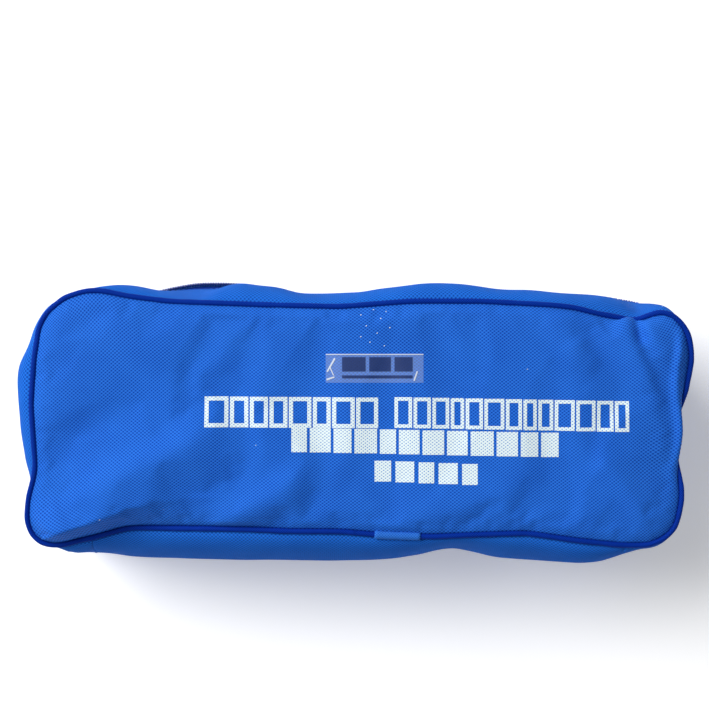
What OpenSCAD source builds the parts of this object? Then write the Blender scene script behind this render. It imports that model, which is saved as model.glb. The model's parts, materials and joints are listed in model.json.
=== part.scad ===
// Bag valve mask (adult silicone resuscitator) packed in its zipped carry case.
// The case lies on its back on a table. +X runs along the case, +Y points to the zip's long run,
// +Z is up through the printed front panel. The origin is the middle of the back panel's outer face.

/* [Case] */
// Length of the case over its bulging ends
case_length = 380; // [376:1:400]
// Width of the case over its bulging long sides
case_width = 160; // [158:1:170]
// Depth of the case, back panel to front panel
case_depth = 124; // [122:1:130]
// Corner radius of the case at the middle of its depth
corner_radius = 30; // [26:1:34]
// How far the panels' edges lie inside the widest outline
panel_inset = 8; // [7:0.5:9]
// Thickness of the coated fabric
fabric = 1.6; // [1.2:0.1:1.6]
// Diameter of the piping cord in the panel seams
piping_d = 3.2; // [2.6:0.2:3.2]

/* [Zip] */
// Where the two sliders meet along the zip's long run
slider_meet_x = 45; // [-100:5:60]
// Width of each half of the zip's coil
coil_width = 3.2; // [2.6:0.2:3.4]
// Thickness of the coil across the tape
coil_thick = 2.4; // [2:0.2:2.6]
// Length of a pull tab
pull_length = 25; // [20:1:30]

/* [Resuscitator] */
// Largest radius of the squeeze bag
bag_r = 56; // [50:1:56]
// Wall of the silicone squeeze bag
bag_wall = 3; // [2.5:0.5:4]
// Outer radius of the 22 mm patient connector
patient_r = 11; // [11:1:11]
// Inner radius of the 15 mm patient connector
patient_bore_r = 7.5; // [7.5:0.5:7.5]
// Outer radius of the oxygen nipple
nipple_r = 3; // [3:0.5:3.5]

/* [Hidden] */
$fn = 96;

fabric_blue = [0.13, 0.36, 0.80];
piping_navy = [0.05, 0.13, 0.48];
ink_white = [0.92, 0.95, 0.95];
silicone = [0.86, 0.88, 0.84];
clear_plastic = [0.80, 0.85, 0.88];
amber_plastic = [0.78, 0.60, 0.32];

gap = 0.3;                                  // play between pieces that part at the zip
tape_lip = 0.3;                             // how far the two halves of the zip stay short of it
z_mid = case_depth / 2;                     // height of the zip
hinge_z = z_mid + 2.7;                      // height of the fold that the lid turns on
edge_x = 150;                               // where the zip gives way to the hinge gusset
zip_half = 8;                               // half of the opening between the gusset's two hems
zip_inset = 4.5;                            // how far the coil's face lies inside the outline
tape_thick = 0.8;
tape_width = 14;
hem_z = z_mid - zip_half;                   // height of the base gusset's hem
tape_inset = zip_inset + coil_thick;        // outer face of the zip tape
piping_r = piping_d / 2;
piping_inset = panel_inset - 0.4;
piping_z = piping_r + 0.2;                  // height of the back piping's centre line
panel_edge = piping_inset + piping_r + 0.2; // the panels' own edges
gusset_foot = piping_z + piping_r + 0.2;    // where the gusset starts, just above the piping
foot_play = 0.1;                            // keeps the gusset's foot off the seam binding
binding_w = 1.6;
binding_h = 9;
slider_plate = 1.2;
slider_length = 11;
slider_height = 9;
slider_gap = 0.4;                           // play between the slider's plates and the zip
slider_y = case_width / 2 - zip_inset;      // outer face of the coil on the long run
bar_r = 0.9;                                // bar that the pull tab turns on
bar_y = slider_y + slider_gap + slider_plate + 1.8;
pull_thick = 1.4;
pull_width = 6.5;
kit_x = 3;                                  // where the resuscitator's own zero lies along the case
bag_y = -14;                                // axis of the resuscitator
bag_z = 58.5;
bag_mid_x = -52;
bag_half = 92;
bag_neck_front = 17;
bag_neck_rear = 22;
port_x = 82;                                // patient connector along the resuscitator
valve_r = 20.4;                             // body of the patient valve, and its exhalation cap
cap_seat_r = 17;                            // room of the exhalation disc in the two
swivel_r = 16.4;                            // collar that the patient valve turns on
swivel_gap = 0.05;
relief_x = 55.1;
relief_r = 6.6;                             // boss of the pressure relief valve
relief_hole_r = 2.4;                        // and the hole under its disc
overflow_x = -168;
nipple_x = -168;
mask_z = 50;
mask_x = 119;                               // plane of the mask's cushion
mask_tube_r = 10.5;
dome_wall = 2.2;
mask_end_r = 34;
mask_half = 16;                             // half of the straight stretch of the mask's outline
roll_r = 17;                                // rolled reservoir bag
roll_x = -135;
roll_long = 195;
roll_y = 51.5;
roll_z = roll_r + 3;

// ---------------------------------------------------------------- shared shapes

// A rectangle with round corners, inset from the case's widest outline.
module outline(inset) {
    l = case_length - 2 * inset;
    w = case_width - 2 * inset;
    r = corner_radius - inset;
    square([l - 2 * r, w], center = true);
    square([l, w - 2 * r], center = true);
    for (sx = [-1, 1], sy = [-1, 1])
        translate([sx * (l / 2 - r), sy * (w / 2 - r)]) circle(r);
}

// A band that follows the outline, between two insets and two heights.
module band(inset_out, inset_in, z0, z1) {
    translate([0, 0, z0]) linear_extrude(z1 - z0) difference() {
        outline(inset_out);
        outline(inset_in);
    }
}

// Turns a piece of the base into its mirror image in the lid.
module as_lid() {
    translate([0, 0, case_depth]) mirror([0, 0, 1]) children();
}

// The stretch of the -Y side that the hinge gusset fills.
module hinge_side(grow = 0) {
    translate([-edge_x - grow, -case_width, -1])
        cube([2 * (edge_x + grow), case_width / 2 + 40, case_depth + 2]);
}

// Places a piece that is drawn along +Z onto the resuscitator's axis, at x.
module on_axis(x) {
    translate([kit_x + x, bag_y, bag_z]) rotate([0, 90, 0]) children();
}

// Places a piece that is drawn along +Z so that it stands on the resuscitator's axis, at x.
module upright(x) {
    translate([kit_x + x, bag_y, bag_z]) children();
}

// The same for a piece that points from the axis to the hinge side.
module sideways(x) {
    translate([kit_x + x, bag_y, bag_z]) rotate([90, 0, 0]) children();
}

module tube(r_out, r_in, h) {
    difference() {
        cylinder(r = r_out, h = h);
        translate([0, 0, -1]) cylinder(r = r_in, h = h + 2);
    }
}

// Two half rounds joined by straights, across Y.
module stadium(r, half) {
    translate([0, half]) circle(r);
    translate([0, -half]) circle(r);
    square([2 * r, 2 * half], center = true);
}

// A round tube swept along a list of points.
module sweep(path, r, sides = 8) {
    n = len(path);
    function dir(i) = let (a = path[max(i - 1, 0)], b = path[min(i + 1, n - 1)]) (b - a) / norm(b - a);
    points = [for (i = [0:n - 1]) let (d = dir(i), u = cross(d, [0, 0, 1]), v = u / norm(u), w = cross(v, d))
        for (k = [0:sides - 1]) path[i] + r * (cos(360 * k / sides) * v + sin(360 * k / sides) * w)];
    walls = [for (i = [0:n - 2], k = [0:sides - 1])
        let (l = (k + 1) % sides, j = i + 1) [i * sides + k, i * sides + l, j * sides + l, j * sides + k]];
    first = [for (k = [sides - 1:-1:0]) k];
    last = [for (k = [0:sides - 1]) (n - 1) * sides + k];
    polyhedron(points, concat([first], walls, [last]));
}

// ---------------------------------------------------------------- case, fabric

module back_panel() {
    color(fabric_blue) linear_extrude(fabric) outline(panel_edge);
}

module front_panel() {
    color(fabric_blue) as_lid() linear_extrude(fabric) outline(panel_edge);
}

// Sweeps a 2-D profile round the outline, open between the ends of the zip on the -Y side.
// The profile is drawn with x as the distance out from the corner's centre, and y as the height.
module sweep_zip_sides() {
    l = case_length / 2 - corner_radius;
    w = case_width / 2 - corner_radius;
    for (q = [0:3]) translate([(q == 0 || q == 3 ? 1 : -1) * l, (q < 2 ? 1 : -1) * w, 0])
        rotate([0, 0, 90 * q]) rotate_extrude(angle = 90) children();
    for (a = [0, 180]) rotate([0, 0, a]) translate([l, w, 0]) rotate([90, 0, 0])
        linear_extrude(2 * w) children();
    rotate([0, 0, 90]) translate([w, l, 0]) rotate([90, 0, 0]) linear_extrude(2 * l) children();
    for (x = [l, -edge_x]) rotate([0, 0, -90]) translate([w, x, 0]) rotate([90, 0, 0])
        linear_extrude(l - edge_x) children();
}

// The gusset's section from its foot to its belly: inset from the widest outline, and height.
gusset_curve = [[panel_inset, gusset_foot], [3.4, 16], [0.8, 32], [0, 46]];

function outer_face() = [for (p = gusset_curve) [corner_radius - p.x, p.y]];
function inner_face() = [for (i = [len(gusset_curve) - 1:-1:0]) let (p = gusset_curve[i])
    [corner_radius - p.x - fabric + (i == 0 ? foot_play : 0), p.y]];

// The gusset along the zip: three sides, bulging, with a hem that turns in to the zip tape.
module zip_gusset() {
    r = corner_radius;
    hem_end = r - tape_inset;
    hem_under = hem_z - fabric;
    sweep_zip_sides() polygon(concat(
        outer_face(),
        [[r, hem_z], [hem_end, hem_z], [hem_end, hem_under], [r - fabric, hem_under]],
        inner_face()
    ));
}

module zip_gusset_base() {
    color(fabric_blue) zip_gusset();
}

module zip_gusset_lid() {
    color(fabric_blue) as_lid() zip_gusset();
}

// The wall on the hinge side, from its foot up to the fold that the lid turns on.
module hinge_wall(top) {
    r = corner_radius;
    rotate([0, 0, -90]) translate([case_width / 2 - r, edge_x, 0]) rotate([90, 0, 0])
        linear_extrude(2 * edge_x)
            polygon(concat(outer_face(), [[r, top], [r - fabric, top]], inner_face()));
}

module hinge_gusset_lower() {
    color(fabric_blue) hinge_wall(hinge_z - gap);
}

module hinge_gusset_upper() {
    color(fabric_blue) as_lid() hinge_wall(case_depth - hinge_z - gap);
}

// Piping: a cord in a bias strip, all the way round a panel.
module piping_ring() {
    l = case_length / 2 - piping_inset;
    w = case_width / 2 - piping_inset;
    r = corner_radius - piping_inset;
    translate([0, 0, piping_z]) {
        for (s = [-1, 1]) {
            translate([-(l - r), s * w, 0]) rotate([0, 90, 0]) cylinder(r = piping_r, h = 2 * (l - r));
            translate([s * l, w - r, 0]) rotate([90, 0, 0]) cylinder(r = piping_r, h = 2 * (w - r));
        }
        for (q = [0:3]) translate([(q == 0 || q == 3 ? 1 : -1) * (l - r), (q < 2 ? 1 : -1) * (w - r), 0])
            rotate([0, 0, 90 * q]) rotate_extrude(angle = 90) translate([r, 0]) circle(piping_r, $fn = 32);
    }
}

module back_piping() {
    color(piping_navy) piping_ring();
}

module front_piping() {
    color(piping_navy) as_lid() piping_ring();
}

// The scrap of fabric that hides the place where the front piping's two ends meet. It wraps the
// piping, open towards the panel and the gusset.
module piping_join_cover() {
    start_x = 9;
    long = 28;
    wrap = 0.6;
    clear = 0.05;
    y = -(case_width / 2 - piping_inset);
    z = case_depth - piping_z;
    color(fabric_blue) translate([start_x, y, z]) rotate([90, 0, 90]) linear_extrude(long) difference() {
        circle(piping_r + wrap);
        circle(piping_r + clear);
        translate([0, -4]) square([4, 8]);
        translate([-4, -5]) square([8, 4]);
    }
}

// The tape that binds the seam's raw edges on the inside, standing against the gusset.
module binding() {
    band(panel_edge + 0.2, panel_edge + 0.2 + binding_w, fabric + 0.2, fabric + 0.2 + binding_h);
}

module back_seam_binding() {
    color(piping_navy) binding();
}

module front_seam_binding() {
    color(piping_navy) as_lid() binding();
}

// ---------------------------------------------------------------- case, zip

module zip_tape() {
    difference() {
        band(tape_inset, tape_inset + tape_thick, z_mid - gap - tape_width, coil_top);
        hinge_side();
    }
}

module zip_tape_base() {
    color(piping_navy) zip_tape();
}

module zip_tape_lid() {
    color(piping_navy) as_lid() zip_tape();
}

coil_top = z_mid - gap - tape_lip;
stop_long = 1.8;

module zip_coil() {
    difference() {
        band(zip_inset, tape_inset, coil_top - coil_width, coil_top);
        hinge_side(stop_long + 0.2);
    }
}

module zip_coil_base() {
    color(piping_navy) zip_coil();
}

module zip_coil_lid() {
    color(piping_navy) as_lid() zip_coil();
}

// The stops crimped on the ends of each half of the coil, on the hinge side.
module zip_stops() {
    for (s = [-1, 1])
        translate([s * (edge_x + stop_long / 2), zip_inset - case_width / 2, coil_top - coil_width])
            translate([-stop_long / 2, 0, 0]) cube([stop_long, coil_thick, coil_width]);
}

module zip_stops_base() {
    color("silver") zip_stops();
}

module zip_stops_lid() {
    color("silver") as_lid() zip_stops();
}

// A slider's plate, drawn in XY: a rounded block that narrows to its tail.
module slider_plate_shape() {
    r = 1.8;
    taper = 0.8;
    x = slider_length / 2 - r;
    y = slider_height / 2 - r;
    hull() for (p = [[x, y], [x, -y], [-x, y - taper], [-x, taper - y]])
        translate(p) circle(r, $fn = 32);
}

// A slider with its head towards +X: two plates, the thin wedge between the coils, and the bar
// that the pull tab turns on.
module slider() {
    y_out = slider_y + slider_gap;
    y_in = slider_y - coil_thick - tape_thick - slider_gap;
    face = y_out + slider_plate;
    sink = 0.1;                                 // overlap that makes one solid of the slider
    wedge = [2.5, y_out - y_in + 4 * sink, 0.4];
    ear = [2.4, bar_y - face + 1.1, 1.2];
    ear_z = 2.6;
    for (y = [y_out, y_in - slider_plate]) translate([0, y + slider_plate, 0]) rotate([90, 0, 0])
        linear_extrude(slider_plate) slider_plate_shape();
    translate([slider_length / 2 - wedge.x - 0.5, y_in - 2 * sink, -wedge.z / 2]) cube(wedge);
    for (s = [-1, 1]) translate([-ear.x / 2, face - sink, s * ear_z - ear.z / 2]) cube(ear);
    translate([0, bar_y, -ear_z]) cylinder(r = bar_r, h = 2 * ear_z);
}

// The pull tab's outline: two round ends and a hole for a lace.
module tab() {
    r = pull_width / 2;
    lace_r = 1.6;
    difference() {
        union() {
            translate([r - pull_length, -r]) square([pull_length - 2 * r, pull_width]);
            translate([r - pull_length, 0]) circle(r);
            translate([-r, 0]) circle(r);
        }
        translate([r - pull_length, 0]) circle(lace_r);
    }
}

// A pull tab that lies along -X from its eye on the slider's bar.
module pull() {
    eye_r = 1.8;
    eye_wide = 3;
    neck = 6;
    play = 0.07;
    difference() {
        union() {
            translate([0, bar_y, -eye_wide / 2]) cylinder(r = eye_r, h = eye_wide);
            translate([-neck, bar_y - pull_thick / 2, -eye_wide / 2]) cube([neck, pull_thick, eye_wide]);
            translate([2 - neck, bar_y + pull_thick / 2, 0]) rotate([90, 0, 0])
                linear_extrude(pull_thick) tab();
        }
        translate([0, bar_y, -eye_wide]) cylinder(r = bar_r + play, h = 2 * eye_wide);
    }
}

slider_offset = slider_length / 2 + 0.5;

module slider_left() {
    color(piping_navy) translate([slider_meet_x - slider_offset, 0, z_mid]) slider();
}

module slider_right() {
    color(piping_navy) translate([slider_meet_x + slider_offset, 0, z_mid]) mirror([1, 0, 0]) slider();
}

module pull_left() {
    color(piping_navy) translate([slider_meet_x - slider_offset, 0, z_mid]) pull();
}

module pull_right() {
    color(piping_navy) translate([slider_meet_x + slider_offset, 0, z_mid]) mirror([1, 0, 0]) pull();
}

// ---------------------------------------------------------------- case, print and sticker

ink = 0.15;
print_z = case_depth + 0.02;

// A row of plain blocks: x of its left end, y of its middle, block size, how many, pitch, and the
// width of the frame around each hollow, or 0 for solid blocks.
module block_row(x, y, w, h, count, pitch, margin) {
    for (i = [0:count - 1]) translate([x + i * pitch, y - h / 2, print_z])
        linear_extrude(ink) difference() {
            square([w, h]);
            if (margin > 0) translate([margin, margin]) square([w - 2 * margin, h - 2 * margin]);
        }
}

// Three lines of blank blocks where a case carries its printed wording.
module front_print() {
    color(ink_white) {
        block_row(-85, 10, 11, 18, 8, 12.4, 2.4);
        block_row(20, 9, 9, 18, 13, 10.4, 2);
        block_row(-36, -9, 11, 13, 12, 12.6, 0);
        block_row(11, -26, 9, 12, 5, 11.5, 0);
    }
}

module clear_sticker() {
    color([0.75, 0.85, 1.0, 0.5]) translate([-13, 23.5, print_z]) cube([51, 16.5, ink]);
}

// ---------------------------------------------------------------- resuscitator: squeeze bag

// Radius of the squeeze bag at x, measured from its middle, between its two necks.
function bag_outer(x) = let (e = bag_r * pow(max(0, 1 - pow(abs(x) / bag_half, 2.6)), 0.55))
    max(e, x > 0 ? bag_neck_front : bag_neck_rear);

module squeeze_bag() {
    steps = 44;
    reach_rear = bag_half + 12;                 // to the end of the rear neck
    reach_front = bag_half + 8;
    neck_wall = 2.4;
    xs = [for (i = [0:steps]) -reach_rear + (reach_rear + reach_front) * i / steps];
    wall_out = [for (x = xs) [bag_outer(x), x]];
    function wall_at(x) = abs(x) > bag_half - 8 ? neck_wall : bag_wall;
    wall_in = [for (i = [steps:-1:0]) [bag_outer(xs[i]) - wall_at(xs[i]), xs[i]]];
    color(silicone) on_axis(bag_mid_x) rotate_extrude() polygon(concat(wall_out, wall_in));
}

module front_neck_ring() {
    color(clear_plastic) on_axis(38.9) tube(19.6, 17.1, 8.3);
}

module rear_neck_ring() {
    color(clear_plastic) on_axis(-155) tube(24.6, 22.1, 9);
}

// ---------------------------------------------------------------- resuscitator: patient valve

module valve_inlet_housing() {
    color(amber_plastic) difference() {
        union() {
            on_axis(30) cylinder(r = 14.5, h = 20);                     // spigot in the bag's neck
            on_axis(48.2) cylinder(r = 19.6, h = 13.3);                 // valve chamber
            on_axis(60) cylinder(r = swivel_r, h = 9);                  // collar
            upright(relief_x) translate([0, 0, 15]) cylinder(r = relief_r, h = 17);
        }
        on_axis(29) cylinder(r = 11.5, h = 40);                         // gas way
        on_axis(50.5) cylinder(r = 16.2, h = 9.5);                      // seat of the duckbill
        on_axis(58) cylinder(r = 13, h = 12);
        on_axis(63.9) tube(17.5, 14.4, 2.2);                            // groove of the O-ring
        upright(relief_x) translate([0, 0, 21]) cylinder(r = relief_r - 1.6, h = 12);
        upright(relief_x) translate([0, 0, 10]) cylinder(r = relief_hole_r, h = 12);
    }
}

// The lip valve: a clamped rim, a cone, and a slit at its nose.
module duckbill_valve() {
    color([0.35, 0.62, 0.82]) on_axis(50.6) difference() {
        union() {
            cylinder(r = 15.9, h = 1.5);
            cylinder(r1 = 11, r2 = 3, h = 12);
        }
        translate([0, 0, -0.1]) cylinder(r1 = 9.8, r2 = 2.2, h = 10.5);
        translate([-0.3, -2.5, 9]) cube([0.6, 5, 5]);
    }
}

module duckbill_retainer() {
    color(clear_plastic) difference() {
        on_axis(52.3) tube(16.1, 13, 7.5);
        upright(relief_x) translate([0, 0, 10]) cylinder(r = relief_hole_r, h = 10);
    }
}

module swivel_o_ring() {
    color([0.1, 0.1, 0.12]) on_axis(65) rotate_extrude() translate([15.42, 0]) circle(0.98, $fn = 32);
}

module patient_port_housing() {
    color(amber_plastic) difference() {
        union() {
            on_axis(61.8) cylinder(r = valve_r, h = 35.2);
            upright(port_x) cylinder(r = patient_r + 1.6, h = 24);      // shoulder of the connector
            upright(port_x) cylinder(r = patient_r, h = 40);
        }
        on_axis(60) cylinder(r = swivel_r + swivel_gap, h = 10);        // socket of the swivel
        on_axis(69) cylinder(r = 13.5, h = 23);                         // chamber
        on_axis(91) cylinder(r = 8.5, h = 4);                           // exhalation way
        on_axis(94) cylinder(r = cap_seat_r, h = 4);                    // seat of the exhalation disc
        upright(port_x) cylinder(r = patient_bore_r - 0.5, h = 25);
        upright(port_x) translate([0, 0, 24]) cylinder(r = patient_bore_r, h = 17);
    }
}

module exhalation_disc() {
    color([0.35, 0.62, 0.82]) on_axis(94.1) cylinder(r = 12, h = 1.2);
}

module exhalation_cap() {
    color(amber_plastic) on_axis(97.1) difference() {
        cylinder(r = valve_r, h = 5.4);
        translate([0, 0, -1]) cylinder(r = cap_seat_r, h = 4);
        for (a = [0:60:300]) rotate([0, 0, a]) translate([10, 0, 2]) cylinder(r = 3.6, h = 5);
        translate([0, 0, 2]) cylinder(r = 3, h = 5);
    }
}

// ---------------------------------------------------------------- resuscitator: pressure relief

module relief_disc() {
    color("white") upright(relief_x) {
        translate([0, 0, 21.1]) cylinder(r = 4.5, h = 1.6);
        translate([0, 0, 22]) cylinder(r = 1.2, h = 13.5);
    }
}

module relief_spring() {
    turns = 5;
    ring_steps = 14;
    foot = 23.3;
    height = 7.6;
    coil_r = 3.2;
    wire_r = 0.4;
    path = [for (i = [0:turns * ring_steps]) let (a = 360 * i / ring_steps)
        [coil_r * cos(a), coil_r * sin(a), foot + height * i / (turns * ring_steps)]];
    color("silver") upright(relief_x) sweep(path, wire_r);
}

module relief_cap() {
    color([0.15, 0.35, 0.7]) upright(relief_x) difference() {
        translate([0, 0, 26]) cylinder(r = relief_r + 1.6, h = 8);
        translate([0, 0, 25]) cylinder(r = relief_r + 0.1, h = 7.1);
        translate([0, 0, 30]) cylinder(r = 1.5, h = 6);                 // guide of the disc's stem
        for (a = [30:60:330]) rotate([0, 0, a]) translate([4.2, 0, 30]) cylinder(r = 1, h = 6);
    }
}

// ---------------------------------------------------------------- resuscitator: air intake and reservoir

module intake_housing() {
    color(clear_plastic) difference() {
        union() {
            on_axis(-158.5) cylinder(r = 19.2, h = 20.5);
            on_axis(-158.5) cylinder(r = 25, h = 2.2);                  // flange against the bag
            on_axis(-141) cylinder(r = 1.2, h = 6);                     // stem that holds the disc
            on_axis(-136) cylinder(r = 2.6, h = 1.2);
        }
        on_axis(-160) cylinder(r = 16, h = 18);
        on_axis(-140) tube(16, 4, 3);                                   // room of the disc
        on_axis(-140) tube(5, 1.2, 4);
        for (a = [0:60:300]) on_axis(-143) rotate([0, 0, a]) translate([9, 0, 0]) cylinder(r = 3, h = 5);
    }
}

module intake_disc() {
    color([0.35, 0.62, 0.82]) on_axis(-139.8) tube(13.5, 1.5, 1.2);
}

module reservoir_adapter() {
    color(clear_plastic) difference() {
        union() {
            on_axis(-178) cylinder(r = 21, h = 19.2);
            on_axis(-184.6) cylinder(r = 12.5, h = 7.6);                // neck for the reservoir bag
            sideways(overflow_x) translate([0, 0, 19]) cylinder(r = 6.5, h = 6);
            upright(nipple_x) translate([0, 0, 18]) cylinder(r = nipple_r + 1.2, h = 6);
            upright(nipple_x) translate([0, 0, 18]) cylinder(r = nipple_r, h = 18);
        }
        on_axis(-176) cylinder(r = 18, h = 18);
        on_axis(-186) cylinder(r = 10.5, h = 12);
        sideways(overflow_x) translate([0, 0, 15]) cylinder(r = 4.2, h = 12);
        upright(nipple_x) translate([0, 0, 15]) cylinder(r = 1.4, h = 22);
    }
}

module overflow_disc() {
    color([0.35, 0.62, 0.82]) sideways(overflow_x) translate([0, 0, 25.1]) cylinder(r = 5.4, h = 1);
}

module overflow_cap() {
    color([0.15, 0.35, 0.7]) sideways(overflow_x) difference() {
        translate([0, 0, 21.5]) cylinder(r = 7.9, h = 8);
        translate([0, 0, 20]) cylinder(r = 6.6, h = 8.3);
        for (a = [0:60:300]) rotate([0, 0, a]) translate([4, 0, 27]) cylinder(r = 1.2, h = 4);
    }
}

// The reservoir bag, rolled up beside the squeeze bag: a spiral of doubled film.
module reservoir_bag() {
    turns = 5;
    ring_steps = 24;
    n = turns * ring_steps;
    core = 4;
    film = 1.1;
    function at(i, r) = let (a = 360 * i / ring_steps) [r * cos(a), r * sin(a)];
    function grow(i) = core + (roll_r - core) * i / n;
    outer = [for (i = [0:n]) at(i, grow(i))];
    inner = [for (i = [n:-1:0]) at(i, grow(i) - film)];
    color([0.85, 0.88, 0.9]) translate([roll_x, roll_y, roll_z]) rotate([0, 90, 0])
        linear_extrude(roll_long) polygon(concat(outer, inner));
}

module reservoir_band() {
    wide = 8;
    color([0.8, 0.7, 0.4]) translate([-42, roll_y, roll_z]) rotate([0, 90, 0])
        tube(roll_r + 1.1, roll_r + 0.05, wide);
}

// ---------------------------------------------------------------- face mask

// Places a piece that is drawn along +Z onto the mask's axis, at x.
module on_mask(x) {
    translate([x, 0, mask_z]) rotate([0, 90, 0]) children();
}

// Half-turn tubes and straights make the air cushion's ring.
module mask_cushion() {
    color([0.55, 0.75, 0.9]) on_mask(mask_x) {
        for (s = [0, 1]) translate([0, s == 0 ? mask_half : -mask_half, 0]) rotate([0, 0, 180 * s])
            rotate_extrude(angle = 180) translate([mask_end_r, 0]) circle(mask_tube_r, $fn = 48);
        for (sx = [-1, 1]) translate([sx * mask_end_r, mask_half, 0]) rotate([90, 0, 0])
            cylinder(r = mask_tube_r, h = 2 * mask_half, $fn = 48);
    }
}

// The mask's dome, from its oval foot to its round collar, made smaller all round by shrink.
module dome_solid(shrink, z0) {
    hull() {
        translate([0, 0, z0]) linear_extrude(0.1) stadium(mask_end_r + 3 - shrink, mask_half);
        translate([0, 0, 12 - shrink]) linear_extrude(0.1) stadium(mask_end_r - 4 - shrink, mask_half - 4);
        translate([0, 0, 21 - shrink]) linear_extrude(0.1) stadium(22 - shrink, 6);
        translate([0, 0, 27 - shrink]) cylinder(r = 16 - shrink, h = 1);
    }
}

module mask_dome() {
    color(clear_plastic) on_mask(mask_x + mask_tube_r + 0.1) difference() {
        union() {
            dome_solid(0, 0);
            translate([0, 0, 27]) cylinder(r = 14, h = 20);             // collar
        }
        dome_solid(dome_wall, -1);
        translate([0, 0, 20]) cylinder(r = patient_r, h = 30);
    }
}

// The ring whose four hooks take a head strap. It turns on the mask's collar.
module mask_hook_ring() {
    color([0.15, 0.35, 0.7]) on_mask(160) {
        tube(17.5, 14.06, 3);
        for (a = [45:90:315]) rotate([0, 0, a]) {
            translate([16.8, -1.5, 0]) cube([6, 3, 2.4]);
            translate([21, -1.5, 0]) cube([1.8, 3, 5.5]);
        }
    }
}

back_panel();
front_panel();
zip_gusset_base();
zip_gusset_lid();
hinge_gusset_lower();
hinge_gusset_upper();
back_piping();
front_piping();
piping_join_cover();
back_seam_binding();
front_seam_binding();
zip_tape_base();
zip_tape_lid();
zip_coil_base();
zip_coil_lid();
zip_stops_base();
zip_stops_lid();
slider_left();
slider_right();
pull_left();
pull_right();
front_print();
clear_sticker();
squeeze_bag();
front_neck_ring();
valve_inlet_housing();
duckbill_valve();
duckbill_retainer();
swivel_o_ring();
patient_port_housing();
exhalation_disc();
exhalation_cap();
relief_disc();
relief_spring();
relief_cap();
rear_neck_ring();
intake_housing();
intake_disc();
reservoir_adapter();
overflow_disc();
overflow_cap();
reservoir_bag();
reservoir_band();
mask_dome();
mask_cushion();
mask_hook_ring();
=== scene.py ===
"""Looks of the zipped carry case and of the resuscitator packed in it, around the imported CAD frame.

Lengths are millimetres until a mesh is made. +X runs along the case towards the mask's end, +Y points to the
zip's long run, and +Z is up.
"""
import json
import math

import bpy
import numpy as np
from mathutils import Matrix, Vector
from mathutils.bvhtree import BVHTree
from mathutils.geometry import barycentric_transform, delaunay_2d_cdt


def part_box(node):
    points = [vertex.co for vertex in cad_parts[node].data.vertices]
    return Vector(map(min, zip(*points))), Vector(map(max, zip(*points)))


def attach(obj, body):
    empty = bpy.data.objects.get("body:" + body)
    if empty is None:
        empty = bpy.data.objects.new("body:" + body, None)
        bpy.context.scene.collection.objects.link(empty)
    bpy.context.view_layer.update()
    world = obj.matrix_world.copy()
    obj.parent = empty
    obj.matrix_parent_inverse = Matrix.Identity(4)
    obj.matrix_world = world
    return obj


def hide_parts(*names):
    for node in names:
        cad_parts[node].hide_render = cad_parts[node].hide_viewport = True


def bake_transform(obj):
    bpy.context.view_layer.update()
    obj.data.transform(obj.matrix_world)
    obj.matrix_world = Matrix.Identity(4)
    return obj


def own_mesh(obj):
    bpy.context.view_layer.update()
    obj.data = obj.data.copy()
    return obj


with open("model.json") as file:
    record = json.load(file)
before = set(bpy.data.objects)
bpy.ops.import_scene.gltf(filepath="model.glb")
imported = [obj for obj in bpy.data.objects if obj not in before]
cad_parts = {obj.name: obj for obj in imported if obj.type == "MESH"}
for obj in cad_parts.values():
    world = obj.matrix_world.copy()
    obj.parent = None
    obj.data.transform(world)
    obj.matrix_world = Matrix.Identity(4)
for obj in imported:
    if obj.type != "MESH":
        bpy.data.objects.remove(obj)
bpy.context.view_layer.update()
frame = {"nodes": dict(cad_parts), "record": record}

MM = 0.001
HALF_L, HALF_W, CORNER = 190.0, 80.0, 30.0  # the case's widest outline
PIPING_IN, PANEL_IN = 7.6, 8.8  # how far inside it the piping and the panels' edges lie
HEM_IN = 5.7  # and the gusset's hems along the zip
HEM_LID, HEM_BASE = 69.8, 54.2  # heights of those hems
ZIP_Z = 62.0  # height of the zip's middle
TAPE_HALF = 15.0  # half the width of the zip and its tape
HINGE_X = 150.0  # the hinge gusset ends here
STEP = 1.5  # spacing of the samples round the case
PIPING_R = 1.5
PANEL_THICK, GUSSET_THICK = 1.1, 1.0
FINE, COARSE = 1.5, 4.2  # spacing of a panel's points, as drawn and while it settles
CLOTH_GROWTH, CLOTH_FRAMES = 0.006, 22  # how much too big the settling cloth is, and for how long
MOST_MOVE = 1.0  # how far a point may move as it settles
GUSSET_ROWS, HINGE_ROWS = 40, 90  # rows of points down a gusset
HEM_TURNED_IN = 8.5  # depth of the hems at the hinge gusset's ends
RUN_IN = 16.0  # past them the other gussets leave the hinge gusset's shape
STITCH_PITCH = 3.2
TAPE_IN, TAPE_THICK = 6.8, 0.7  # how far inside the outline the zip tape lies, and its thickness
COIL_IN = 5.7  # how far inside it the zip's coil lies

# ---------------- where the soft case lies

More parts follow.
